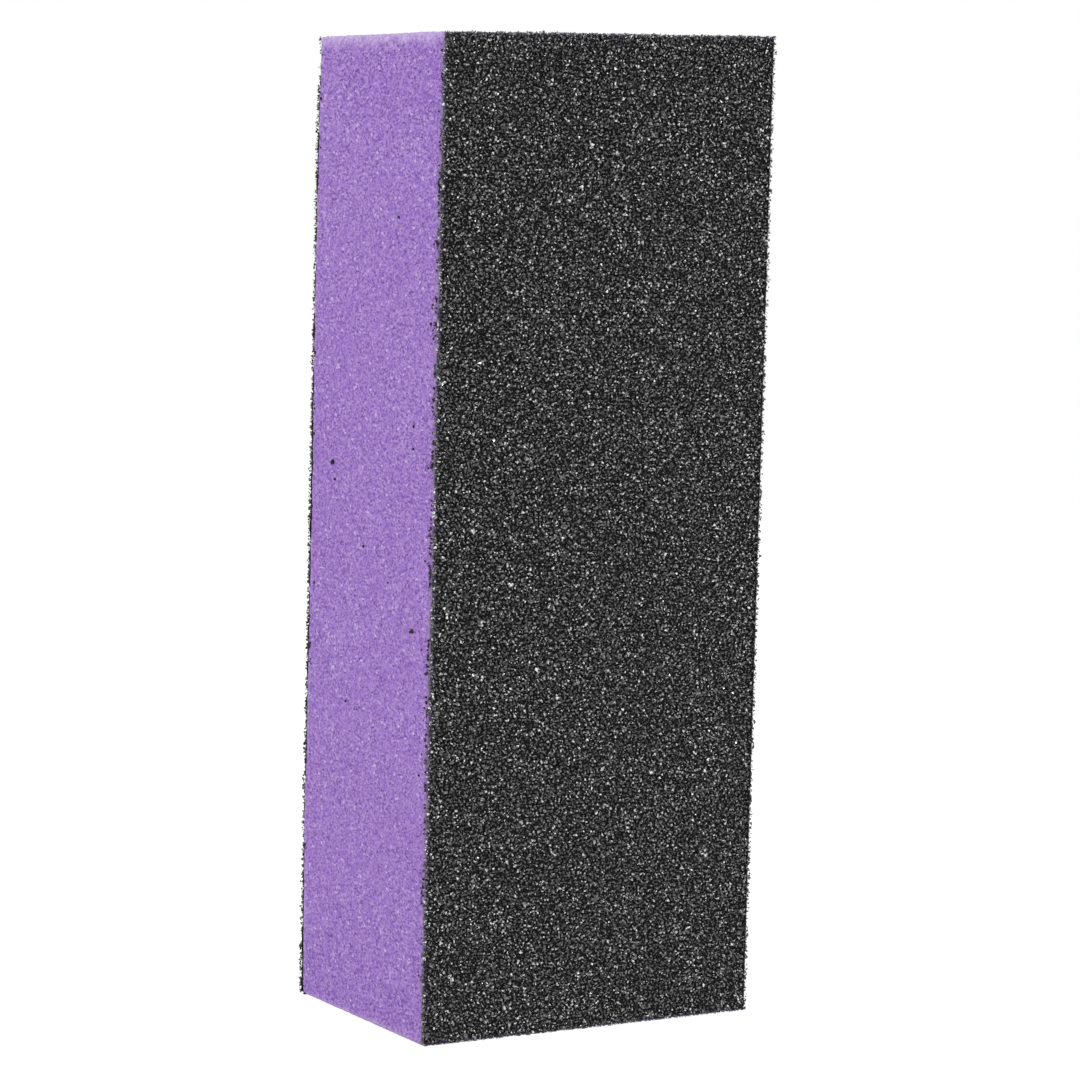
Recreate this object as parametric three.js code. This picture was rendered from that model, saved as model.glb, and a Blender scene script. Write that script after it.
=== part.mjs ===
// Nail buffer block, standing on one cut end. Millimetres, +Z up.
//
// The origin is the middle of the bottom end. The two wide working faces look
// along -Y and +Y, the narrow working face along +X, and the narrow face along
// -X is bare foam. Each working face has a resin film on the foam and a layer
// of abrasive grains standing in that film. Both ends are saw cuts, so the foam
// and the edges of the coats show there.

import * as THREE from "three";

// Driving dimensions.
const BLOCK_LENGTH = 95; // standing height, on the centre line
const BLOCK_WIDTH = 36.8; // along X, over the narrow face's grit
const BLOCK_THICKNESS = 25; // along Y, over both wide faces' grit
const BINDER_THICKNESS = 0.15;
const GRIT_THICKNESS = 0.35;
const TOP_CUT_SLOPE = 0.029; // rise per millimetre of X: the top cut is 1.7 degrees out of square

// Boundaries between the layers, from the foam outwards.
const BARE_FACE_X = -BLOCK_WIDTH / 2;
const GRIT_FACE_X = BLOCK_WIDTH / 2;
const BINDER_FACE_X = GRIT_FACE_X - GRIT_THICKNESS;
const FOAM_FACE_X = BINDER_FACE_X - BINDER_THICKNESS;
const GRIT_FACE_Y = BLOCK_THICKNESS / 2;
const BINDER_FACE_Y = GRIT_FACE_Y - GRIT_THICKNESS;
const FOAM_FACE_Y = BINDER_FACE_Y - BINDER_THICKNESS;

const foam = new THREE.MeshStandardMaterial({ color: 0xa07dc3, roughness: 0.95, metalness: 0 });
const resin = new THREE.MeshStandardMaterial({ color: 0x1f1e22, roughness: 0.6, metalness: 0 });
const grit = new THREE.MeshStandardMaterial({ color: 0x3d3d3e, roughness: 0.4, metalness: 0.1 });

function topCutHeight(x) {
  return BLOCK_LENGTH + TOP_CUT_SLOPE * x;
}

// One layer of the block: upright sides, a level bottom and the sloping top cut.
function layer(name, material, [lowX, highX], [lowY, highY]) {
  const outline = new THREE.Shape();
  outline.moveTo(lowX, 0);
  outline.lineTo(highX, 0);
  outline.lineTo(highX, topCutHeight(highX));
  outline.lineTo(lowX, topCutHeight(lowX));
  outline.closePath();
  const geometry = new THREE.ExtrudeGeometry(outline, { depth: highY - lowY, bevelEnabled: false });
  geometry.rotateX(Math.PI / 2); // the outline stands upright and its depth runs towards -Y
  const mesh = new THREE.Mesh(geometry, material);
  mesh.name = name;
  mesh.position.y = highY;
  return mesh;
}

// The foam runs out to the bare face and to the three resin films.
function foamCore() {
  return layer("foam_core", foam, [BARE_FACE_X, FOAM_FACE_X], [-FOAM_FACE_Y, FOAM_FACE_Y]);
}

// A wide face's coats run the full width, so they close the corners over the narrow face's coats.
function wideFace(name, side) {
  const between = (inner, outer) => (side < 0 ? [-outer, -inner] : [inner, outer]);
  const face = new THREE.Group();
  face.add(layer(`${name}_binder`, resin, [BARE_FACE_X, BINDER_FACE_X], between(FOAM_FACE_Y, BINDER_FACE_Y)));
  face.add(layer(`${name}_grit`, grit, [BARE_FACE_X, GRIT_FACE_X], between(BINDER_FACE_Y, GRIT_FACE_Y)));
  return face;
}

// The narrow working face's coats fit between the wide faces' coats.
function narrowFace(name) {
  const face = new THREE.Group();
  face.add(layer(`${name}_binder`, resin, [FOAM_FACE_X, BINDER_FACE_X], [-FOAM_FACE_Y, FOAM_FACE_Y]));
  face.add(layer(`${name}_grit`, grit, [BINDER_FACE_X, GRIT_FACE_X], [-BINDER_FACE_Y, BINDER_FACE_Y]));
  return face;
}

const bufferBlock = new THREE.Group();
bufferBlock.add(foamCore(), wideFace("front_face", -1), wideFace("back_face", 1), narrowFace("side_face"));

export default bufferBlock;
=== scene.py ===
"""Nail buffer block: a purple foam brick with black abrasive grit on three of its long faces.

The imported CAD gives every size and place. Each soft or coated CAD slab is replaced by a piece that is
modelled as the real thing is: the foam with its cellular skin and soft edges, the uneven resin films
with their torn edges, and every abrasive grain as a faceted crystal of its own, half sunk in the resin.
Lengths in this script are millimetres until a mesh, light or camera is made.
"""

import math

import bmesh
import bpy
import numpy as np
from mathutils import Matrix, Vector


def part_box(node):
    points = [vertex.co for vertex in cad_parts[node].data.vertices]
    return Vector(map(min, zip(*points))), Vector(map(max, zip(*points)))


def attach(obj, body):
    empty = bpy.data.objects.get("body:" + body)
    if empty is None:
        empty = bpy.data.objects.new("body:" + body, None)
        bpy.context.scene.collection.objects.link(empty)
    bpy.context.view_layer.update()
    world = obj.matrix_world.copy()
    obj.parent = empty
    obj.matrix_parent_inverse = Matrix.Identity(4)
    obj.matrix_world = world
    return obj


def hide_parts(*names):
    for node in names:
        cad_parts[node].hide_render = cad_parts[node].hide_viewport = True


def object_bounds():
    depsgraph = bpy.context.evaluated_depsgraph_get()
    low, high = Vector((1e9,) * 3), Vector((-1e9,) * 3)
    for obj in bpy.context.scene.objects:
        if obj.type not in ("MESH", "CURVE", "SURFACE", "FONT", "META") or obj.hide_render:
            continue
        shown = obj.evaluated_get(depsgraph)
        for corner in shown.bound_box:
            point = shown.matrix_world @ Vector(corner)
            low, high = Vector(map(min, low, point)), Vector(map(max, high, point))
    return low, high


MM = 0.001
SEED = 20
ON_EDGE = 0.05  # a point this near an edge belongs to it

# ---------------------------------------------------------------- foam
FOAM_CELL = 0.2  # mesh pitch on the bare face, and across the ends
FOAM_END_CELL = 0.25  # mesh pitch along the ends
FOAM_TOP_RADIUS = 0.25
FOAM_FOOT_RADIUS = (0.25, 0.65)  # at the front, and at the back, where it is worn
FOAM_BULGE = 0.15  # how far the bare face swells at mid height
SWELL_FADE = 8  # the power with which the swell fades away from the bare face

# Noises are rows of (how far, over what length, seed).
FOAM_WAVE = [(0.08, 17.0, 3)]  # the bare face wanders
FOAM_SKIN = [(0.05, 1.9, 4), (0.03, 0.55, 5), (0.025, 0.27, 6)]  # lumps all over the bare skin
TOP_FUZZ = [(0.06, 0.8, 9), (0.05, 0.4, 10)]  # and more of them near the top
TOP_FUZZ_REACH = 0.8  # they fade out this far below it
RIM_WANDER = [(0.3, 1.1, 7), (0.25, 0.4, 8)]  # the inner line of the pale rims, which are a painted sheen

RIM_LEVEL = 1.3  # how strongly a rim's painted sheen shows at its very edge, where 1 is fully; it falls by 1 over the fade
RIM_FADE = 0.95
SIDE_RIM_LESS = 0.8  # how much narrower the rims are at the sides and at the foot than at the top
FOOT_RIM_LESS = 0.5
FOOT_SHADE = (0.6, 0.35)  # share of painted shade at the foot, and over what height it fades
# darkening beside the front coat, grit dust and painted shade: share, and over what width it fades
FRONT_GRIT_DUST_AND_SHADE = (0.4, 0.7)
LOW_SHADE = 0.09  # and a faint painted shade that grows from the top to the foot

FOAM_SQUEEZE = (1.0, 0.8, 1.25)  # the cells are a little wider than they are high
CELL_CONTRAST = 0.185
FLECK_CONTRAST = 0.145
FOAM_PURPLES = [
    (0.22, (0.148, 0.053, 0.335)),
    (0.5, (0.366, 0.208, 0.566)),
    (0.78, (0.525, 0.347, 0.725)),
]
FOAM_FLECK = (0.78, 0.67, 0.92)
FOAM_PATCH = (0.27, 0.12, 0.47)
FOAM_VIVID = (0.31, 0.145, 0.6)
# the pale colour of the painted sheen along the rims
FOAM_RIM_SHEEN = (0.64, 0.51, 0.8)
# the dark colour of the painted shade and grit dust
FOAM_DUST_AND_SHADE = (0.1, 0.06, 0.14)

# ---------------------------------------------------------------- resin films
BINDER_CELL = 0.4  # mesh pitch
BINDER_SINK = 0.06  # the film starts this deep in the foam's surface
BINDER_FILM = 0.12  # and stands this far out from it
BINDER_EDGE = 0.04  # or this far at its edges
BINDER_LUMP = 0.03
TEAR = (0.07, 0.09)  # how far in the film's edge is torn, and how much that wanders
END_TEAR = 0.4  # share of that at the top and at the foot
FRAY = (0.02, 0.08)  # the same again for the back film, whose torn edge stands past the foam
THIN_EDGE = 0.3  # the film lets the foam's colour through over this width
THIN_WANDER = 0.25
WORN_TOP = 0.28  # the back coat's upper corner is rubbed off this far at the bare face
WORN_FROM_TOP = 8.0  # the wear starts this far below the top
WORN_FADE = 6.0  # and grows over this height

RESIN_BLACKS = [(0.3, (0.005, 0.005, 0.0055)), (0.75, (0.018, 0.018, 0.019))]
RESIN_TINT = (0.16, 0.085, 0.27)

# ---------------------------------------------------------------- grains
COARSE_PITCH = 0.37
COARSE_RADIUS = 0.176
COARSE_RANGE = 0.16  # natural logarithm: how much the radii differ
COARSE_PROUD = 0.45  # share of its radius that a grain's centre stands above the film
COARSE_UNEVEN = 0.035  # how much the centres' heights differ
COARSE_WAVE = 0.03  # and how much neighbours rise and fall together
FINE_PITCH = 0.355
FINE_RADIUS = 0.128
FINE_RANGE = 0.2
FINE_PROUD = 0.5
FINE_UNEVEN = 0.05
FINE_LIFT = 0.03
GRAIN_CORNERS = 5
GRAIN_JITTER = 0.24  # share of the pitch

CRYSTAL_KINDS = 32
CORNER_REACH = (0.85, 1.1)  # how far a crystal's corners are from its centre, in radii
CORNER_APART = 0.75  # and from one another at least
CRYSTAL_STRETCH = (0.75, 1.2)  # along each of its own axes

GLINT_SHARE = 0.068  # share of the grains, and again of the facets, that are clean crystal, with a painted glint in their base colour
GRAIN_TONE = 0.176  # middle reflectance of a resin-coated facet
GRAIN_SPREAD = 0.32  # natural logarithm: how much the grains' tones differ
FACET_GLINT_SPREAD = 0.48  # and those of one grain's facets, a painted highlight and shade on each facet
TONE_LIMITS = (0.002, 0.85)  # lowest and highest reflectance; the brightest facets are painted glints
# near-white greys that paint glints on the clean facets
GLINT_GREYS = [(0.3, (0.5, 0.5, 0.505)), (0.6, (0.95, 0.95, 0.955))]

OVERHANG = (0.1, 0.26)  # how far the front and back grit stands past the bare face's edges
RAGGED = 0.16  # how much the line of grains wanders there
RAGGED_REACH = 0.4
GAP_DEPTH = 0.45  # and how deep the gaps in it are
GAP_LEVEL = 0.5  # a higher level gives fewer gaps
EDGE_INSET = 0.09  # how far inside an edge its last row of grains sits
EDGE_UNEVEN = 0.05
EDGE_PULL = 0.35  # grains up to this far outside an edge are pulled in to that row
CORNER_PULL = 0.1 * EDGE_PULL  # but not those this far outside two edges

STRAY_CORNERS = 8
STRAY_TONE = 0.035  # darker than the coats' grains
STRAY_PROUD = 0.25  # share of its radius that a loose grain's centre stands above the foam
CRUMBS = 480  # small grains in clumps beside the bare face's coated edges
CRUMB_CLUMPS = 130
CRUMB_RADII = (0.07, 0.17)
CRUMB_REACH = 0.18  # how far a clump reaches in from the edge on average, and at most
CRUMB_REACH_MOST = 0.4
CRUMB_SCATTER = 0.4  # how far it spreads up and down
CRUMBS_AT_FRONT = 0.7  # share of the clumps at the front edge
CRUMB_HEIGHTS = (0.01, 0.995)  # shares of the block's height

# Grains that have fallen on the bare face: (share of its depth from the back, share of its height, radius).
STRAY_GRAINS = [
    (0.69, 0.819, 0.23),
    (0.05, 0.798, 0.14),
    (0.844, 0.614, 0.16),
    (0.18, 0.566, 0.33),
    (0.205, 0.549, 0.17),
    (0.845, 0.592, 0.14),
    (0.457, 0.486, 0.16),
    (0.045, 0.438, 0.20),
    (0.664, 0.454, 0.14),
    (0.868, 0.411, 0.28),
    (0.945, 0.395, 0.17),
    (0.331, 0.324, 0.23),
    (0.945, 0.27, 0.17),
    (0.645, 0.236, 0.12),
]

# ---------------------------------------------------------------- camera and light
CAMERA_AZIMUTH = -31.35
CAMERA_ELEVATION = 5.53
CAMERA_ROLL = 1.48
CAMERA_LENS = 121.9
CAMERA_SENSOR = 36.0
CAMERA_DISTANCE = 358.8
AIM_OFFSET = Vector((0.54, 0.0, -1.71))  # from the middle of the block to where the camera looks

ROOM_GLOW = 0.2  # light from the dim room around the softboxes
TABLE_GLOW = 0.85  # the lit white table's own light
TABLE_WHITES = [(0.3, (0.29, 0.29, 0.29)), (0.7, (0.31, 0.31, 0.31))]
TABLE_RADIUS = 0.6  # metres, as the lengths below
SOFTBOX_SIZE = 0.3
SOFTBOX_RADIUS = 0.7
SOFTBOX_HEIGHT = 0.5
SOFTBOX_TURN = 35  # degrees from the camera to the first of four
SOFTBOX_POWER = 2.8  # watts


# ================================================================ frame
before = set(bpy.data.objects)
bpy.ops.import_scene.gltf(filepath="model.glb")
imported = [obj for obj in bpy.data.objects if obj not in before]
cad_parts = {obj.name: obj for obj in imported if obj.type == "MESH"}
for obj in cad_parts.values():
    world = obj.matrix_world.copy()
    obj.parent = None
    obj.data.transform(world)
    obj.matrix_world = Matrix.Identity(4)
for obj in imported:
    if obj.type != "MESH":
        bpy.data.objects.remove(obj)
cad_low, cad_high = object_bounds()


def box_mm(node):
    low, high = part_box(node)
    return low / MM, high / MM


def top_cut():
    """(height on the centre line, rise per millimetre of x) of the sloping top cut."""
    corners = [v.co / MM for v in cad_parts["foam_core"].data.vertices]
    left = max((c for c in corners if c.x < 0), key=lambda c: c.z)
    right = max((c for c in corners if c.x > 0), key=lambda c: c.z)
    slope = (right.z - left.z) / (right.x - left.x)
    return left.z - slope * left.x, slope


FOAM_LOW, FOAM_HIGH = box_mm("foam_core")
TOP_HEIGHT, TOP_SLOPE = top_cut()
WIDTH = FOAM_HIGH.x - FOAM_LOW.x
DEPTH = FOAM_HIGH.y - FOAM_LOW.y
COAT = box_mm("front_face_grit")[1].x - FOAM_HIGH.x
CORNER = 0.6 * COAT  # how far the films reach past the narrow face's corners, where they cross


class Face:
    """A long face of the foam. A point on it is (s, z, h): along, up, and out from the foam's surface.

    Its film and its grit reach past its two edges by the lengths given. The bare face begins at one of
    these edges, 0 or 1, or at neither.
    """

    def __init__(self, corner_x, corner_y, along, width, film=(0.0, 0.0), grit=(0.0, 0.0), bare_edge=None):
        self.corner = np.array([corner_x, corner_y, 0.0])
        self.along = np.array(along, float)
        self.out = np.cross(self.along, [0.0, 0.0, 1.0])
        self.width = width
        self.film = (-film[0], width + film[1])
        self.grit = (-grit[0], width + grit[1])
        self.bare_edge = bare_edge
        self.overhang = 0.0 if bare_edge is None else grit[bare_edge]

    def top(self, s):
        return TOP_HEIGHT + TOP_SLOPE * (self.corner[0] + self.along[0] * s)

    def points(self, s, z, h):
        place = self.corner + np.outer(s, self.along) + np.outer(h, self.out)
        place[:, 2] += z
        return place


FRONT = Face(
    FOAM_LOW.x,
    FOAM_LOW.y,
    (1, 0, 0),
    WIDTH,
    film=(0.0, CORNER),
    grit=(OVERHANG[0], COAT),
    bare_edge=0,
)
BACK = Face(
    FOAM_HIGH.x,
    FOAM_HIGH.y,
    (-1, 0, 0),
    WIDTH,
    film=(CORNER, OVERHANG[1]),
    grit=(COAT, OVERHANG[1]),
    bare_edge=1,
)
SIDE = Face(FOAM_HIGH.x, FOAM_LOW.y, (0, 1, 0), DEPTH, film=(CORNER, CORNER), grit=(CORNER, CORNER))
BARE = Face(FOAM_LOW.x, FOAM_HIGH.y, (0, -1, 0), DEPTH)


# ================================================================ noise and meshes
def hashed(cells, seed):
    """A repeatable value from 0 to 1 for each row of whole numbers."""
    mixed = np.full(len(cells), seed * 7919 + 17, np.uint64)
    for k, prime in enumerate((73856093, 19349663, 83492791)):
        mixed ^= (cells[:, k].astype(np.int64).astype(np.uint64) + np.uint64(k)) * np.uint64(prime)
        mixed ^= mixed >> np.uint64(13)
        mixed *= np.uint64(0x9E3779B97F4A7C15)
        mixed ^= mixed >> np.uint64(29)
    return (mixed >> np.uint64(11)).astype(float) / float(1 << 53)


def noise(points, cell, seed):
    """Smooth noise from -1 to 1 that changes over about one cell."""
    scaled = points / cell
    base = np.floor(scaled)
    part = scaled - base
    part = part * part * (3 - 2 * part)
    total = np.zeros(len(points))
    for corner in range(8):
        step = np.array([corner & 1, corner >> 1 & 1, corner >> 2 & 1])
        weight = np.prod(np.where(step, part, 1 - part), axis=1)
        total += weight * hashed(base + step, seed)
    return total * 2 - 1


def noises(points, rows):
    """The sum of several noises, given as rows of (how far, over what length, seed)."""
    return sum(far * noise(points, length, seed) for far, length, seed in rows)


def build_mesh(name, points, rows, polygons=()):
    """A mesh in metres from points in millimetres, rows of triangles or quads, and a few large polygons."""
    mesh = bpy.data.meshes.new(name)
    rows = np.asarray(rows)
    loops = np.concatenate([rows.ravel()] + [np.asarray(p) for p in polygons]).astype(np.int32)
    lengths = np.concatenate([np.full(len(rows), rows.shape[1]), [len(p) for p in polygons]])
    starts = np.concatenate([[0], np.cumsum(lengths)[:-1]]).astype(np.int32)
    mesh.vertices.add(len(points))
    mesh.vertices.foreach_set("co", (np.asarray(points) * MM).astype(np.float32).ravel())
    mesh.loops.add(len(loops))
    mesh.loops.foreach_set("vertex_index", loops)
    mesh.polygons.add(len(starts))
    mesh.polygons.foreach_set("loop_start", starts)
    mesh.update(calc_edges=True)
    mesh.validate()
    return mesh


def smooth(mesh):
    mesh.polygons.foreach_set("use_smooth", np.ones(len(mesh.polygons), bool))


def store(mesh, name, values, domain="POINT"):
    attribute = mesh.attributes.new(name, "FLOAT", domain)
    attribute.data.foreach_set("value", np.asarray(values, np.float32))


def add_piece(name, mesh, materials, slot, *nodes):
    """An object that rides on the block, takes the given materials and stands for CAD nodes. The slot is not
    used.
    """
    for material in materials:
        mesh.materials.append(material)
    piece = bpy.data.objects.new(name, mesh)
    bpy.context.scene.collection.objects.link(piece)
    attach(piece, "root")
    if nodes:
        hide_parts(*nodes)
    return piece


# ================================================================ materials
class Nodes:
    """Short calls for building a Principled material."""

    def __init__(self, name):
        self.material = bpy.data.materials.new(name)
        self.material.use_nodes = True
        self.tree = self.material.node_tree
        self.shader = self.tree.nodes["Principled BSDF"]

    def new(self, kind, **settings):
        node = self.tree.nodes.new(kind)
        for key, value in settings.items():
            setattr(node, key, value)
        return node

    def link(self, source, target):
        self.tree.links.new(source, target)

    def finish(self, name, source):
        """Link a source to one of the shader's sockets."""
        self.link(source, self.shader.inputs[name])

    def place(self):
        """The position on the object, in millimetres."""
        coordinates = self.new("ShaderNodeTexCoord")
        scale = self.new("ShaderNodeVectorMath", operation="SCALE")
        scale.inputs["Scale"].default_value = 1 / MM
        self.link(coordinates.outputs["Object"], scale.inputs[0])
        return scale.outputs[0]

    def squeezed(self, place, factors):
        node = self.new("ShaderNodeVectorMath", operation="MULTIPLY")
        node.inputs[1].default_value = factors
        self.link(place, node.inputs[0])
        return node.outputs[0]

    def noise(self, place, per_mm, detail=2.0, rough=0.5):
        node = self.new("ShaderNodeTexNoise")
        node.inputs["Scale"].default_value = per_mm
        node.inputs["Detail"].default_value = detail
        node.inputs["Roughness"].default_value = rough
        self.link(place, node.inputs["Vector"])
        return node.outputs["Fac"]

    def cell_tone(self, place, per_mm):
        """A value from 0 to 1 that is the same across each small cell."""
        node = self.new("ShaderNodeTexVoronoi")
        node.inputs["Scale"].default_value = per_mm
        self.link(place, node.inputs["Vector"])
        red = self.new("ShaderNodeSeparateColor")
        self.link(node.outputs["Color"], red.inputs["Color"])
        return red.outputs["Red"]

    def attribute(self, name):
        return self.new("ShaderNodeAttribute", attribute_name=name).outputs["Fac"]

    def spread(self, value, low, high, to_low=0.0, to_high=1.0):
        node = self.new("ShaderNodeMapRange", clamp=True)
        for socket, number in zip(node.inputs[1:5], (low, high, to_low, to_high)):
            socket.default_value = number
        self.link(value, node.inputs[0])
        return node.outputs[0]

    def maths(self, operation, first, second):
        node = self.new("ShaderNodeMath", operation=operation)
        for socket, value in zip(node.inputs, (first, second)):
            if isinstance(value, (int, float)):
                socket.default_value = value
            else:
                self.link(value, socket)
        return node.outputs[0]

    def ramp(self, value, stops):
        node = self.new("ShaderNodeValToRGB")
        ramp = node.color_ramp
        while len(ramp.elements) < len(stops):
            ramp.elements.new(0.5)
        for element, (position, colour) in zip(ramp.elements, stops):
            element.position = position
            element.color = (*colour, 1)
        self.link(value, node.inputs["Fac"])
        return node.outputs["Color"]

    def mix(self, share, first, second):
        """A blend from a first colour to a second one, which is given as numbers."""
        node = self.new("ShaderNodeMix", data_type="RGBA")
        self.link(share, node.inputs[0])
        self.link(first, node.inputs[6])
        node.inputs[7].default_value = (*second, 1)
        return node.outputs[2]

    def bump(self, height, distance, strength):
        node = self.new("ShaderNodeBump")
        node.inputs["Strength"].default_value = strength
        node.inputs["Distance"].default_value = distance * MM
        self.link(height, node.inputs["Height"])
        self.finish("Normal", node.outputs["Normal"])


def foam_material():
    """Purple closed-cell foam: small light and dark cells, fibrous mottling, pale rims that are a painted
    sheen, and darkening that is painted shade, with grit dust beside the front coat.
    """
    n = Nodes("purple_foam")
    place = n.squeezed(n.place(), FOAM_SQUEEZE)
    mottle = n.noise(place, 3.4, detail=2.0, rough=0.7)
    patches = n.noise(place, 0.12, detail=2.0)
    cell = n.cell_tone(place, 5.2)
    flecks = n.cell_tone(place, 4.0)
    cell_tones = n.spread(cell, 0.0, 1.0, -CELL_CONTRAST, CELL_CONTRAST)
    fleck_tones = n.spread(flecks, 0.0, 1.0, -FLECK_CONTRAST, FLECK_CONTRAST)
    tones = n.maths("ADD", cell_tones, fleck_tones)
    grainy = n.maths("ADD", n.spread(mottle, 0.0, 1.0, 0.2, 0.8), tones)
    base = n.ramp(grainy, FOAM_PURPLES)
    flecked = n.mix(n.spread(flecks, 0.957, 1.0, 0.0, 0.6), base, FOAM_FLECK)
    patched = n.mix(n.spread(patches, 0.3, 0.7, 0.0, 0.14), flecked, FOAM_PATCH)
    clouds = n.noise(place, 0.8, detail=2.0)
    vivid = n.mix(n.spread(clouds, 0.4, 0.66, 0.0, 0.34), patched, FOAM_VIVID)
    # the pale rims are a painted sheen along the foam's edges
    edge_amount = n.maths("MULTIPLY", n.attribute("rim"), n.spread(mottle, 0.35, 0.65, 0.35, 1.0))
    sheened = n.mix(edge_amount, vivid, FOAM_RIM_SHEEN)
    # darkened by painted shade at and towards the foot, and by grit dust and painted shade beside the front
    # coat
    n.finish("Base Color", n.mix(n.attribute("dust_and_shade"), sheened, FOAM_DUST_AND_SHADE))
    n.finish("Roughness", n.spread(mottle, 0.2, 0.8, 0.98, 0.8))
    n.shader.inputs["Specular IOR Level"].default_value = 0.25
    n.bump(mottle, 0.05, 0.5)
    return n.material


def resin_material():
    """Black phenolic resin: satin, lumpy, and tinted by the foam where the film runs thin."""
    n = Nodes("black_resin")
    lumps = n.noise(n.place(), 3.0, detail=3.0)
    tint = n.maths("MULTIPLY", n.attribute("thin"), 0.5)
    n.finish("Base Color", n.mix(tint, n.ramp(lumps, RESIN_BLACKS), RESIN_TINT))
    n.finish("Roughness", n.spread(lumps, 0.3, 0.7, 0.35, 0.6))
    n.shader.inputs["Specular IOR Level"].default_value = 0.05
    n.bump(lumps, 0.08, 0.8)
    return n.material


def coated_grain_material():
    """A silicon carbide grain under a thin film of resin: each grain has its own tone, and its facets differ
    by a painted highlight and shade.
    """
    n = Nodes("coated_grain")
    film = n.noise(n.place(), 9.0, detail=2.0)
    n.finish("Base Color", n.maths("MULTIPLY", n.attribute("facet_tone_and_glint"), n.spread(film, 0.35, 0.7, 1.0, 0.5)))
    n.finish("Roughness", n.spread(film, 0.3, 0.7, 0.3, 0.55))
    n.shader.inputs["Specular IOR Level"].default_value = 0.11
    n.bump(film, 0.02, 0.5)
    return n.material


def glinting_crystal_material():
    """A clean cleavage facet of silicon carbide: hard, glassy and strongly reflecting. Its near-white base
    colour is a painted glint.
    """
    n = Nodes("crystal_painted_glint")
    growth = n.noise(n.place(), 12.0, detail=1.0)
    n.finish("Base Color", n.ramp(growth, GLINT_GREYS))
    n.finish("Roughness", n.spread(growth, 0.3, 0.7, 0.1, 0.35))
    n.shader.inputs["IOR"].default_value = 2.6
    n.shader.inputs["Specular IOR Level"].default_value = 1.0
    return n.material


# ================================================================ foam
def foot_radius(y):
    front, back = FOAM_FOOT_RADIUS
    return front + (back - front) * (y - FOAM_LOW.y) / DEPTH


def foot_recess(y, z):
    """How far the bare face's rounded foot stands back from the face, at a height."""
    radius = foot_radius(y)
    rise = np.clip(radius - z, 0.0, radius)
    return radius - np.sqrt(radius**2 - rise**2)


def worn_top(y, z):
    """How far the back coat's upper corner is worn away from the bare face, at a height."""
    edge_amount = WORN_TOP * np.clip((z - TOP_HEIGHT + WORN_FROM_TOP) / WORN_FADE, 0, 1)
    return np.where(y > 0, edge_amount, 0.0)


def bulge(up):
    """How far the bare face swells, at a share of its height."""
    return FOAM_BULGE * (1 - (2 * up - 1) ** 4)


def rounded(points, low, high):
    """Points on the skin, with its edges rounded at the top and at the foot, and their outward normals."""
    radius = np.where(points[:, 2] < (low[2] + high[2]) / 2, foot_radius(points[:, 1]), FOAM_TOP_RADIUS)
    inner = points.copy()
    inner[:, 0] = np.maximum(points[:, 0], low[0] + radius)
    inner[:, 2] = np.clip(points[:, 2], low[2] + radius, high[2] - radius)
    away = points - inner
    length = np.linalg.norm(away, axis=1, keepdims=True)
    normal = away / np.maximum(length, 1e-9)
    return inner + normal * radius[:, None], normal


def foam_grid():
    """A box's points as shares of its size, the quads of its bare face and ends, and three glued faces."""
    count_x = round(WIDTH / FOAM_END_CELL)
    count_y = round(DEPTH / FOAM_CELL)
    count_z = round(TOP_HEIGHT / FOAM_CELL)
    index = {}
    points = []

    def vertex(i, j, k):
        if (i, j, k) not in index:
            index[i, j, k] = len(points)
            points.append((i / count_x, j / count_y, k / count_z))
        return index[i, j, k]

    quads = []
    for k in range(count_z):
        for j in range(count_y):
            ring = [(j + 1, k), (j, k), (j, k + 1), (j + 1, k + 1)]
            quads.append([vertex(0, a, b) for a, b in ring])
    for i in range(count_x):
        for j in range(count_y):
            ring = [(i, j), (i + 1, j), (i + 1, j + 1), (i, j + 1)]
            quads.append([vertex(a, b, count_z) for a, b in ring])
            quads.append([vertex(a, b, 0) for a, b in reversed(ring)])
    front = (
        [vertex(i, 0, 0) for i in range(count_x + 1)]
        + [vertex(i, 0, count_z) for i in range(count_x, -1, -1)]
        + [vertex(0, 0, k) for k in range(count_z - 1, 0, -1)]
    )
    back = (
        [vertex(i, count_y, 0) for i in range(count_x, -1, -1)]
        + [vertex(0, count_y, k) for k in range(1, count_z)]
        + [vertex(i, count_y, count_z) for i in range(count_x + 1)]
    )
    side = [vertex(count_x, j, 0) for j in range(count_y + 1)]
    side += [vertex(count_x, j, count_z) for j in range(count_y, -1, -1)]
    return np.array(points), quads, [front, back, side]


def foam_places(share, flat, start, size):
    """The grid's places: rounded, swollen and lumpy, then sheared from a level top to the sloping cut."""
    place, normal = rounded(flat, start, start + size)
    swell = bulge(share[:, 2]) + noises(flat * [0, 0, 1], FOAM_WAVE)
    place[:, 0] -= swell * (1 - share[:, 0]) ** SWELL_FADE
    near_top = np.clip(1 - (1 - share[:, 2]) * TOP_HEIGHT / TOP_FUZZ_REACH, 0, 1)
    skin = noises(flat, FOAM_SKIN) + near_top * noises(flat, TOP_FUZZ)
    on_floor = share[:, 2] * TOP_HEIGHT < FOAM_CELL / 2
    skin = np.where(on_floor, -np.abs(skin), skin)
    place += normal * skin[:, None]
    place[:, 2] += TOP_SLOPE * place[:, 0] * share[:, 2]
    place[:, 2] = np.maximum(place[:, 2], 0.0)
    return place


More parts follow.
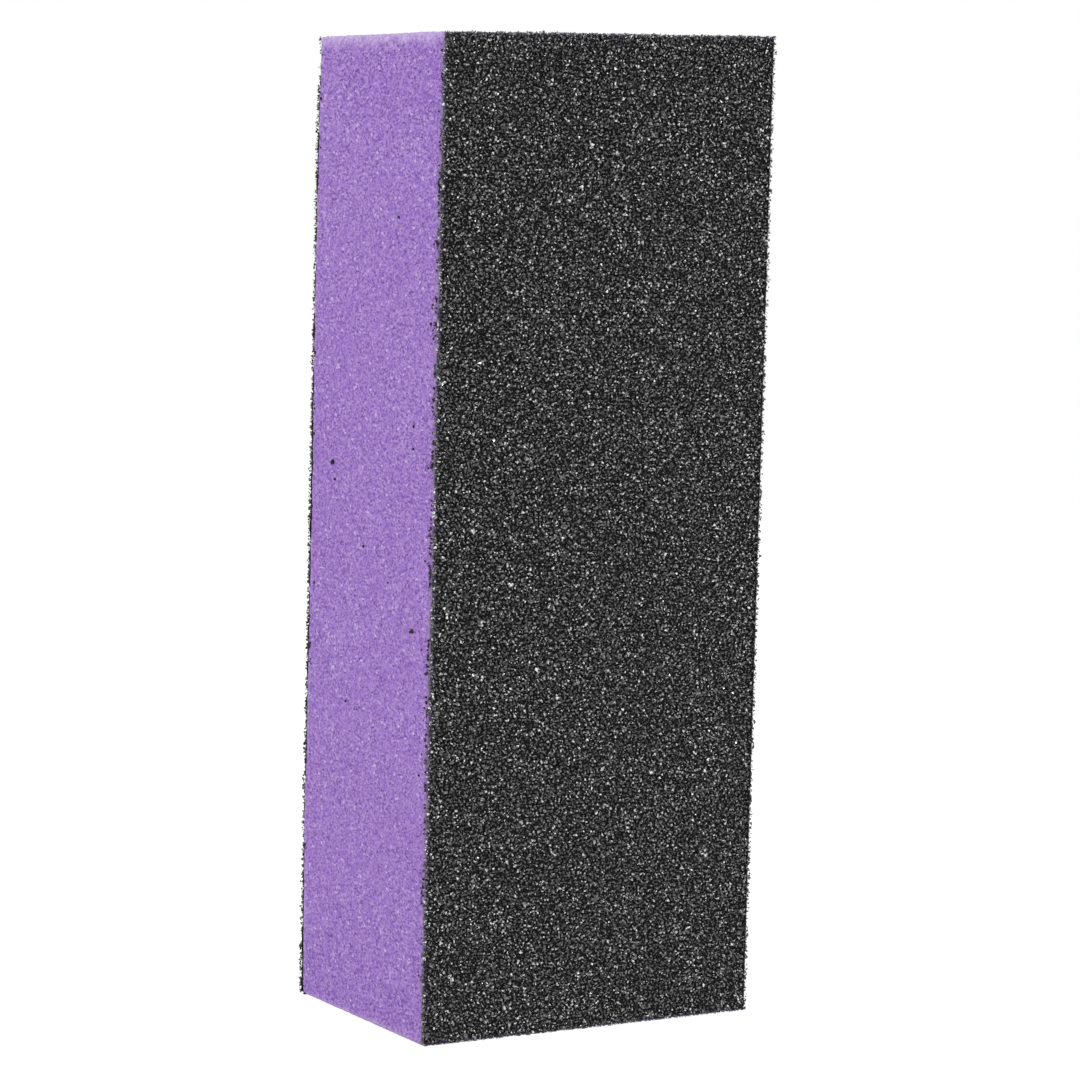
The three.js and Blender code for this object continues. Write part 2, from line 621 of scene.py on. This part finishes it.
def foam_sheen_and_shade(mesh, share, flat):
    """Store where the rims get a pale painted sheen, and where the foam darkens with painted shade and grit
    dust.
    """
    wander = noises(flat, RIM_WANDER)
    from_sides = np.minimum(share[:, 1], 1 - share[:, 1]) * DEPTH
    from_top = (1 - share[:, 2]) * TOP_HEIGHT
    from_foot = share[:, 2] * TOP_HEIGHT
    from_edge = np.minimum.reduce([from_top, from_sides + SIDE_RIM_LESS, from_foot + FOOT_RIM_LESS])
    store(mesh, "rim", np.clip(RIM_LEVEL - (from_edge + wander) / RIM_FADE, 0, 1))
    from_front = share[:, 1] * DEPTH
    # painted shade at the foot and growing towards it; grit dust and painted shade beside the front coat
    at_foot = FOOT_SHADE[0] * np.clip(1 - from_foot / FOOT_SHADE[1], 0, 1)
    at_front = FRONT_GRIT_DUST_AND_SHADE[0] * np.clip(1 - (from_front + wander) / FRONT_GRIT_DUST_AND_SHADE[1], 0, 1)
    store(mesh, "dust_and_shade", np.maximum.reduce([at_foot, at_front, LOW_SHADE * (1 - share[:, 2])]))


def foam_piece():
    """One closed body. Its bare face and both ends are fine grids, and each glued face is one polygon."""
    share, quads, glued = foam_grid()
    start = np.array([FOAM_LOW.x, FOAM_LOW.y, 0.0])
    size = np.array([WIDTH, DEPTH, TOP_HEIGHT])
    flat = start + share * size
    mesh = build_mesh("foam_block", foam_places(share, flat, start, size), quads, glued)
    foam_sheen_and_shade(mesh, share, flat)
    smooth(mesh)
    piece = add_piece("foam_block", mesh, [foam_material()], "foam", "foam_core")


# ================================================================ resin films
def torn(face, s, z, flat, seed):
    """The film's (s, z) with its edges torn in: those at the bare face, at the top and at the foot."""
    tear = TEAR[0] + TEAR[1] * noise(flat, 0.9, seed)
    fray = FRAY[0] + FRAY[1] * noise(flat, 0.35, seed + 4) if face is BACK else 0.0
    tear_s = tear + fray + foot_recess(flat[:, 1], z) + worn_top(flat[:, 1], z)
    at_bare = flat[:, 0] - FOAM_LOW.x < ON_EDGE
    at_end = np.minimum(z, face.top(s) - z) < ON_EDGE
    inward_s = np.where(at_bare, tear_s, 0.0) * np.where(s < face.width / 2, 1, -1)
    inward_z = np.where(at_end, END_TEAR * tear, 0.0) * np.where(z < TOP_HEIGHT / 2, 1, -1)
    return s + inward_s, z + inward_z


def thinness(face, s, z, flat, seed):
    """How much the foam shows through the film: near the foam's own edges, and not beyond them."""
    to_edge = np.minimum.reduce([flat[:, 0] - FOAM_LOW.x, z, face.top(s) - z])
    thin = np.clip(1 - (to_edge + THIN_WANDER * noise(flat, 0.7, seed)) / THIN_EDGE, 0, 1)
    return np.where(flat[:, 0] < FOAM_LOW.x - ON_EDGE, 0.0, thin)


def binder_piece(name, face, node, material, seed):
    """A thin lumpy film on the foam. Its edges are torn, and it is closed behind by one polygon."""
    start, end = face.film
    count_s = round((end - start) / BINDER_CELL)
    count_z = round(TOP_HEIGHT / BINDER_CELL)
    i, k = np.meshgrid(np.arange(count_s + 1), np.arange(count_z + 1), indexing="ij")
    s = start + i.ravel() / count_s * (end - start)
    z = k.ravel() / count_z * face.top(s)
    flat = face.points(s, z, np.zeros(len(s)))
    film = BINDER_FILM + noises(flat, [(BINDER_LUMP, 1.3, seed + 1), (BINDER_LUMP, 0.5, seed + 2)])
    from_rim = np.minimum.reduce([s - start, end - s, z, face.top(s) - z])
    film = np.where(from_rim < ON_EDGE, BINDER_EDGE, film)
    torn_s, torn_z = torn(face, s, z, flat, seed)
    outer = face.points(torn_s, torn_z, film)

    number = np.arange(len(s)).reshape(count_s + 1, count_z + 1)
    corners = [number[:-1, :-1], number[1:, :-1], number[1:, 1:], number[:-1, 1:]]
    quads = np.stack(corners, axis=-1).reshape(-1, 4)
    loop = np.concatenate([number[:-1, 0], number[-1, :-1], number[:0:-1, -1], number[0, :0:-1]])
    behind = face.points(torn_s[loop], torn_z[loop], np.full(len(loop), -BINDER_SINK))
    around = len(s) + np.arange(len(loop))
    wall = np.stack([loop, around, np.roll(around, -1), np.roll(loop, -1)], axis=-1)
    mesh = build_mesh(name, np.vstack([outer, behind]), np.vstack([quads, wall]), [around[::-1]])
    thin = thinness(face, s, z, flat, seed + 3)
    store(mesh, "thin", np.concatenate([thin, thin[loop]]))
    smooth(mesh)
    add_piece(name, mesh, [material], "resin", node)


# ================================================================ grains
def crystal_shapes(rng, count, corners):
    """Convex crystals: corner rows of shape (count, corners, 3) and their outward triangles."""
    shapes, faces = [], []
    while len(shapes) < count:
        cloud = rng.normal(size=(corners, 3))
        cloud /= np.linalg.norm(cloud, axis=1, keepdims=True)
        cloud *= rng.uniform(*CORNER_REACH, (corners, 1))
        apart = np.linalg.norm(cloud[:, None] - cloud[None], axis=2) + np.eye(corners) * 9
        if apart.min() < CORNER_APART:
            continue
        hull = bmesh.new()
        made = [hull.verts.new(p) for p in cloud]
        bmesh.ops.convex_hull(hull, input=made)
        hull.verts.index_update()
        triangles = np.array([[v.index for v in f.verts] for f in hull.faces])
        hull.free()
        if triangles.shape != (2 * corners - 4, 3):
            continue
        a, b, c = (cloud[triangles[:, m]] for m in range(3))
        inward = np.einsum("ij,ij->i", np.cross(b - a, c - a), a + b + c) < 0
        triangles[inward] = triangles[inward][:, ::-1]
        shapes.append(cloud)
        faces.append(triangles)
    return np.array(shapes), np.array(faces)


def turns(rng, count):
    """Random rotation matrices."""
    q = rng.normal(size=(count, 4))
    q /= np.linalg.norm(q, axis=1, keepdims=True)
    w, x, y, z = q.T
    rows = [
        [1 - 2 * (y * y + z * z), 2 * (x * y - z * w), 2 * (x * z + y * w)],
        [2 * (x * y + z * w), 1 - 2 * (x * x + z * z), 2 * (y * z - x * w)],
        [2 * (x * z - y * w), 2 * (y * z + x * w), 1 - 2 * (x * x + y * y)],
    ]
    return np.array(rows).transpose(2, 0, 1)


def grain_mesh(name, rng, centres, radii, corners=GRAIN_CORNERS, bare=GLINT_SHARE, tone=GRAIN_TONE):
    """Every grain as its own closed crystal, in one mesh. The clean facets take the second material, whose
    near-white colour is a painted glint.
    """
    count = len(centres)
    shapes, faces = crystal_shapes(rng, CRYSTAL_KINDS, corners)
    facets = faces.shape[1]
    kind = rng.integers(len(shapes), size=count)
    local = shapes[kind] * rng.uniform(*CRYSTAL_STRETCH, (count, 1, 3))
    local = np.einsum("nij,nvj->nvi", turns(rng, count), local)
    points = centres[:, None] + local * radii[:, None, None]
    points[:, :, 2] = np.maximum(points[:, :, 2], 0.0)  # the saw cut the grains at the end it stands on
    triangles = faces[kind] + (np.arange(count) * corners)[:, None, None]
    mesh = build_mesh(name, points.reshape(-1, 3), triangles.reshape(-1, 3))

    # each grain's own tone, then a painted highlight and shade facet by facet, with painted glints at the
    # bright end
    level = np.repeat(rng.normal(0, GRAIN_SPREAD, count), facets)
    level += rng.normal(0, FACET_GLINT_SPREAD, len(level))
    store(mesh, "facet_tone_and_glint", np.clip(tone * np.exp(level), *TONE_LIMITS), "FACE")
    # the clean facets get the painted glints of the second material
    clean = np.repeat(rng.random(count) < bare, facets)
    clean |= rng.random(len(clean)) < bare
    mesh.polygons.foreach_set("material_index", clean.astype(np.int32))
    mesh.update()
    return mesh


def scattered(rng, face, pitch, seed):
    """Grain places (s, z) on a face: a loose close packing, with small gaps along the bare foam's edge."""
    row = pitch * math.sqrt(3) / 2
    start, end = face.grit
    count_s = int((end - start) / pitch) + 3
    count_z = int(cad_high.z / MM / row) + 3
    i, k = np.meshgrid(np.arange(-1, count_s), np.arange(-1, count_z), indexing="ij")
    s = start + ((i + 0.5 * (k % 2)) * pitch).ravel() + rng.normal(0, GRAIN_JITTER * pitch, i.size)
    z = (k * row).ravel() + rng.normal(0, GRAIN_JITTER * pitch, i.size)
    past_side = np.maximum(start - s, s - end)
    past_end = np.maximum(-z, z - face.top(s))
    keep = np.maximum(past_side, past_end) < EDGE_PULL
    keep &= np.minimum(past_side, past_end) < CORNER_PULL
    # where two coats meet, the corner has no row of its own
    keep &= (s > start + EDGE_INSET) | (face.bare_edge == 0)
    keep &= (s < end - EDGE_INSET) | (face.bare_edge == 1)
    s, z = s[keep], z[keep]
    inset = EDGE_INSET + rng.normal(0, EDGE_UNEVEN, (2, len(s)))
    s = np.clip(s, start + inset[0], end - inset[0])
    z = np.clip(z, inset[1] - EDGE_INSET, face.top(s) - 0.5 * inset[1])

    flat = face.points(s, z, np.zeros(len(s)))
    from_bare = flat[:, 0] - FOAM_LOW.x
    keep = from_bare > GAP_DEPTH * (-GAP_LEVEL - noise(flat, 0.9, seed)) - face.overhang
    keep &= from_bare > foot_recess(flat[:, 1], z) + worn_top(flat[:, 1], z) - face.overhang
    s = s + np.where(from_bare < RAGGED_REACH, RAGGED * noise(flat, 0.7, seed + 7), 0.0)
    return s[keep], z[keep]


def grit_pieces(label, face, node, materials, seed):
    """A face's grit: coarse grains close together, and finer ones in the gaps between them."""
    rng = np.random.default_rng(seed)
    s, z = scattered(rng, face, COARSE_PITCH, seed + 1)
    radii = COARSE_RADIUS * np.exp(rng.normal(0, COARSE_RANGE, len(s)))
    wave = COARSE_WAVE * noise(face.points(s, z, np.zeros(len(s))), 1.6, seed + 2)
    h = BINDER_FILM + COARSE_PROUD * radii + wave + rng.normal(0, COARSE_UNEVEN, len(s))
    mesh = grain_mesh(f"{label}_coarse_grains", rng, face.points(s, z, h), radii)
    add_piece(f"{label}_coarse_grains", mesh, materials, "grit", node)

    s, z = scattered(rng, face, FINE_PITCH, seed + 3)
    radii = FINE_RADIUS * np.exp(rng.normal(0, FINE_RANGE, len(s)))
    h = BINDER_FILM + FINE_LIFT + FINE_PROUD * radii + rng.normal(0, FINE_UNEVEN, len(s))
    mesh = grain_mesh(f"{label}_fine_grains", rng, face.points(s, z, h), radii)
    add_piece(f"{label}_fine_grains", mesh, materials, "grit")


def stray_grains(materials):
    """Loose grains on the bare foam face: the chosen ones, and clumps of crumbs beside its coated edges."""
    rng = np.random.default_rng(SEED + 90)
    across, up, radii = (np.array(column) for column in zip(*STRAY_GRAINS))
    clump = rng.integers(CRUMB_CLUMPS, size=CRUMBS)
    reach = np.minimum(rng.exponential(CRUMB_REACH, CRUMB_CLUMPS), CRUMB_REACH_MOST)[clump]
    beside = np.abs(rng.normal(0, 1, CRUMBS)) * reach / BARE.width
    at_front = (rng.random(CRUMB_CLUMPS) < CRUMBS_AT_FRONT)[clump]
    crumb_up = rng.random(CRUMB_CLUMPS)[clump] + rng.normal(0, CRUMB_SCATTER, CRUMBS) / TOP_HEIGHT
    across = np.concatenate([across, np.where(at_front, 1 - beside, beside)])
    up = np.concatenate([up, np.clip(crumb_up, *CRUMB_HEIGHTS)])
    radii = np.concatenate([radii, rng.uniform(*CRUMB_RADII, CRUMBS)])
    places = BARE.points(across * BARE.width, up * BARE.top(0), bulge(up) + STRAY_PROUD * radii)
    mesh = grain_mesh("stray_grains", rng, places, radii, corners=STRAY_CORNERS, bare=0.0, tone=STRAY_TONE)
    add_piece("stray_grains", mesh, materials, "grit")


# ================================================================ stage
def softbox(name, place, aim):
    data = bpy.data.lights.new(name, "AREA")
    data.shape = "SQUARE"
    data.size = SOFTBOX_SIZE
    data.energy = SOFTBOX_POWER
    light = bpy.data.objects.new(name, data)
    light.location = place
    light.rotation_mode = "QUATERNION"
    light.rotation_quaternion = (Vector(aim) - Vector(place)).to_track_quat("-Z", "Y")
    bpy.context.scene.collection.objects.link(light)


def table():
    """A wide white table top, evenly bright."""
    bpy.ops.mesh.primitive_circle_add(vertices=128, radius=TABLE_RADIUS, fill_type="NGON", location=(0, 0, 0))
    floor = bpy.context.object
    floor.name = "floor"
    n = Nodes("white_table")
    n.finish("Base Color", n.ramp(n.noise(n.place(), 0.02, detail=3.0), TABLE_WHITES))
    n.shader.inputs["Roughness"].default_value = 0.9
    n.shader.inputs["Specular IOR Level"].default_value = 0.0
    n.shader.inputs["Emission Color"].default_value = (1, 1, 1, 1)
    n.shader.inputs["Emission Strength"].default_value = TABLE_GLOW
    floor.data.materials.append(n.material)


def room():
    """A dim room that shows as a plain white backdrop."""
    world = bpy.data.worlds.new("room")
    world.use_nodes = True
    tree = world.node_tree
    seen = tree.nodes.new("ShaderNodeLightPath").outputs["Is Camera Ray"]
    glow = tree.nodes.new("ShaderNodeMapRange")
    glow.inputs["To Min"].default_value = ROOM_GLOW
    glow.inputs["To Max"].default_value = 1.0
    background = tree.nodes["Background"]
    background.inputs["Color"].default_value = (1, 1, 1, 1)
    tree.links.new(seen, glow.inputs["Value"])
    tree.links.new(glow.outputs["Result"], background.inputs["Strength"])
    bpy.context.scene.world = world


def stage():
    """The table and the room, with a softbox on each side, so that every face is lit alike."""
    table()
    room()
    middle = (cad_low + cad_high) / 2
    for k in range(4):
        turn = math.radians(CAMERA_AZIMUTH + SOFTBOX_TURN + 90 * k)
        place = (SOFTBOX_RADIUS * math.sin(turn), -SOFTBOX_RADIUS * math.cos(turn), SOFTBOX_HEIGHT)
        softbox(f"softbox_{k}", place, middle)
    bpy.context.scene.view_settings.view_transform = "Standard"


def camera():
    azimuth, elevation = math.radians(CAMERA_AZIMUTH), math.radians(CAMERA_ELEVATION)
    level = math.cos(elevation)
    back = Vector((math.sin(azimuth) * level, -math.cos(azimuth) * level, math.sin(elevation)))
    aim = (cad_low + cad_high) / 2 / MM + AIM_OFFSET
    roll = Matrix.Rotation(math.radians(CAMERA_ROLL), 3, "Z")
    data = bpy.data.cameras.new("camera")
    data.lens = CAMERA_LENS
    data.sensor_width = CAMERA_SENSOR
    data.clip_start = 0.01
    eye = bpy.data.objects.new("camera", data)
    eye.rotation_mode = "QUATERNION"
    eye.rotation_quaternion = ((-back).to_track_quat("-Z", "Y").to_matrix() @ roll).to_quaternion()
    eye.location = (aim + back * CAMERA_DISTANCE) * MM
    bpy.context.scene.collection.objects.link(eye)
    bpy.context.scene.camera = eye


def main():
    camera()
    stage()
    foam_piece()
    resin = resin_material()
    grain_materials = [coated_grain_material(), glinting_crystal_material()]
    coats = [("front", FRONT), ("back", BACK), ("side", SIDE)]
    for k, (label, face) in enumerate(coats, 1):
        binder_piece(f"{label}_resin", face, f"{label}_face_binder", resin, SEED + 10 * k)
    for k, (label, face) in enumerate(coats, 4):
        grit_pieces(label, face, f"{label}_face_grit", grain_materials, SEED + 10 * k)
    stray_grains(grain_materials)


main()
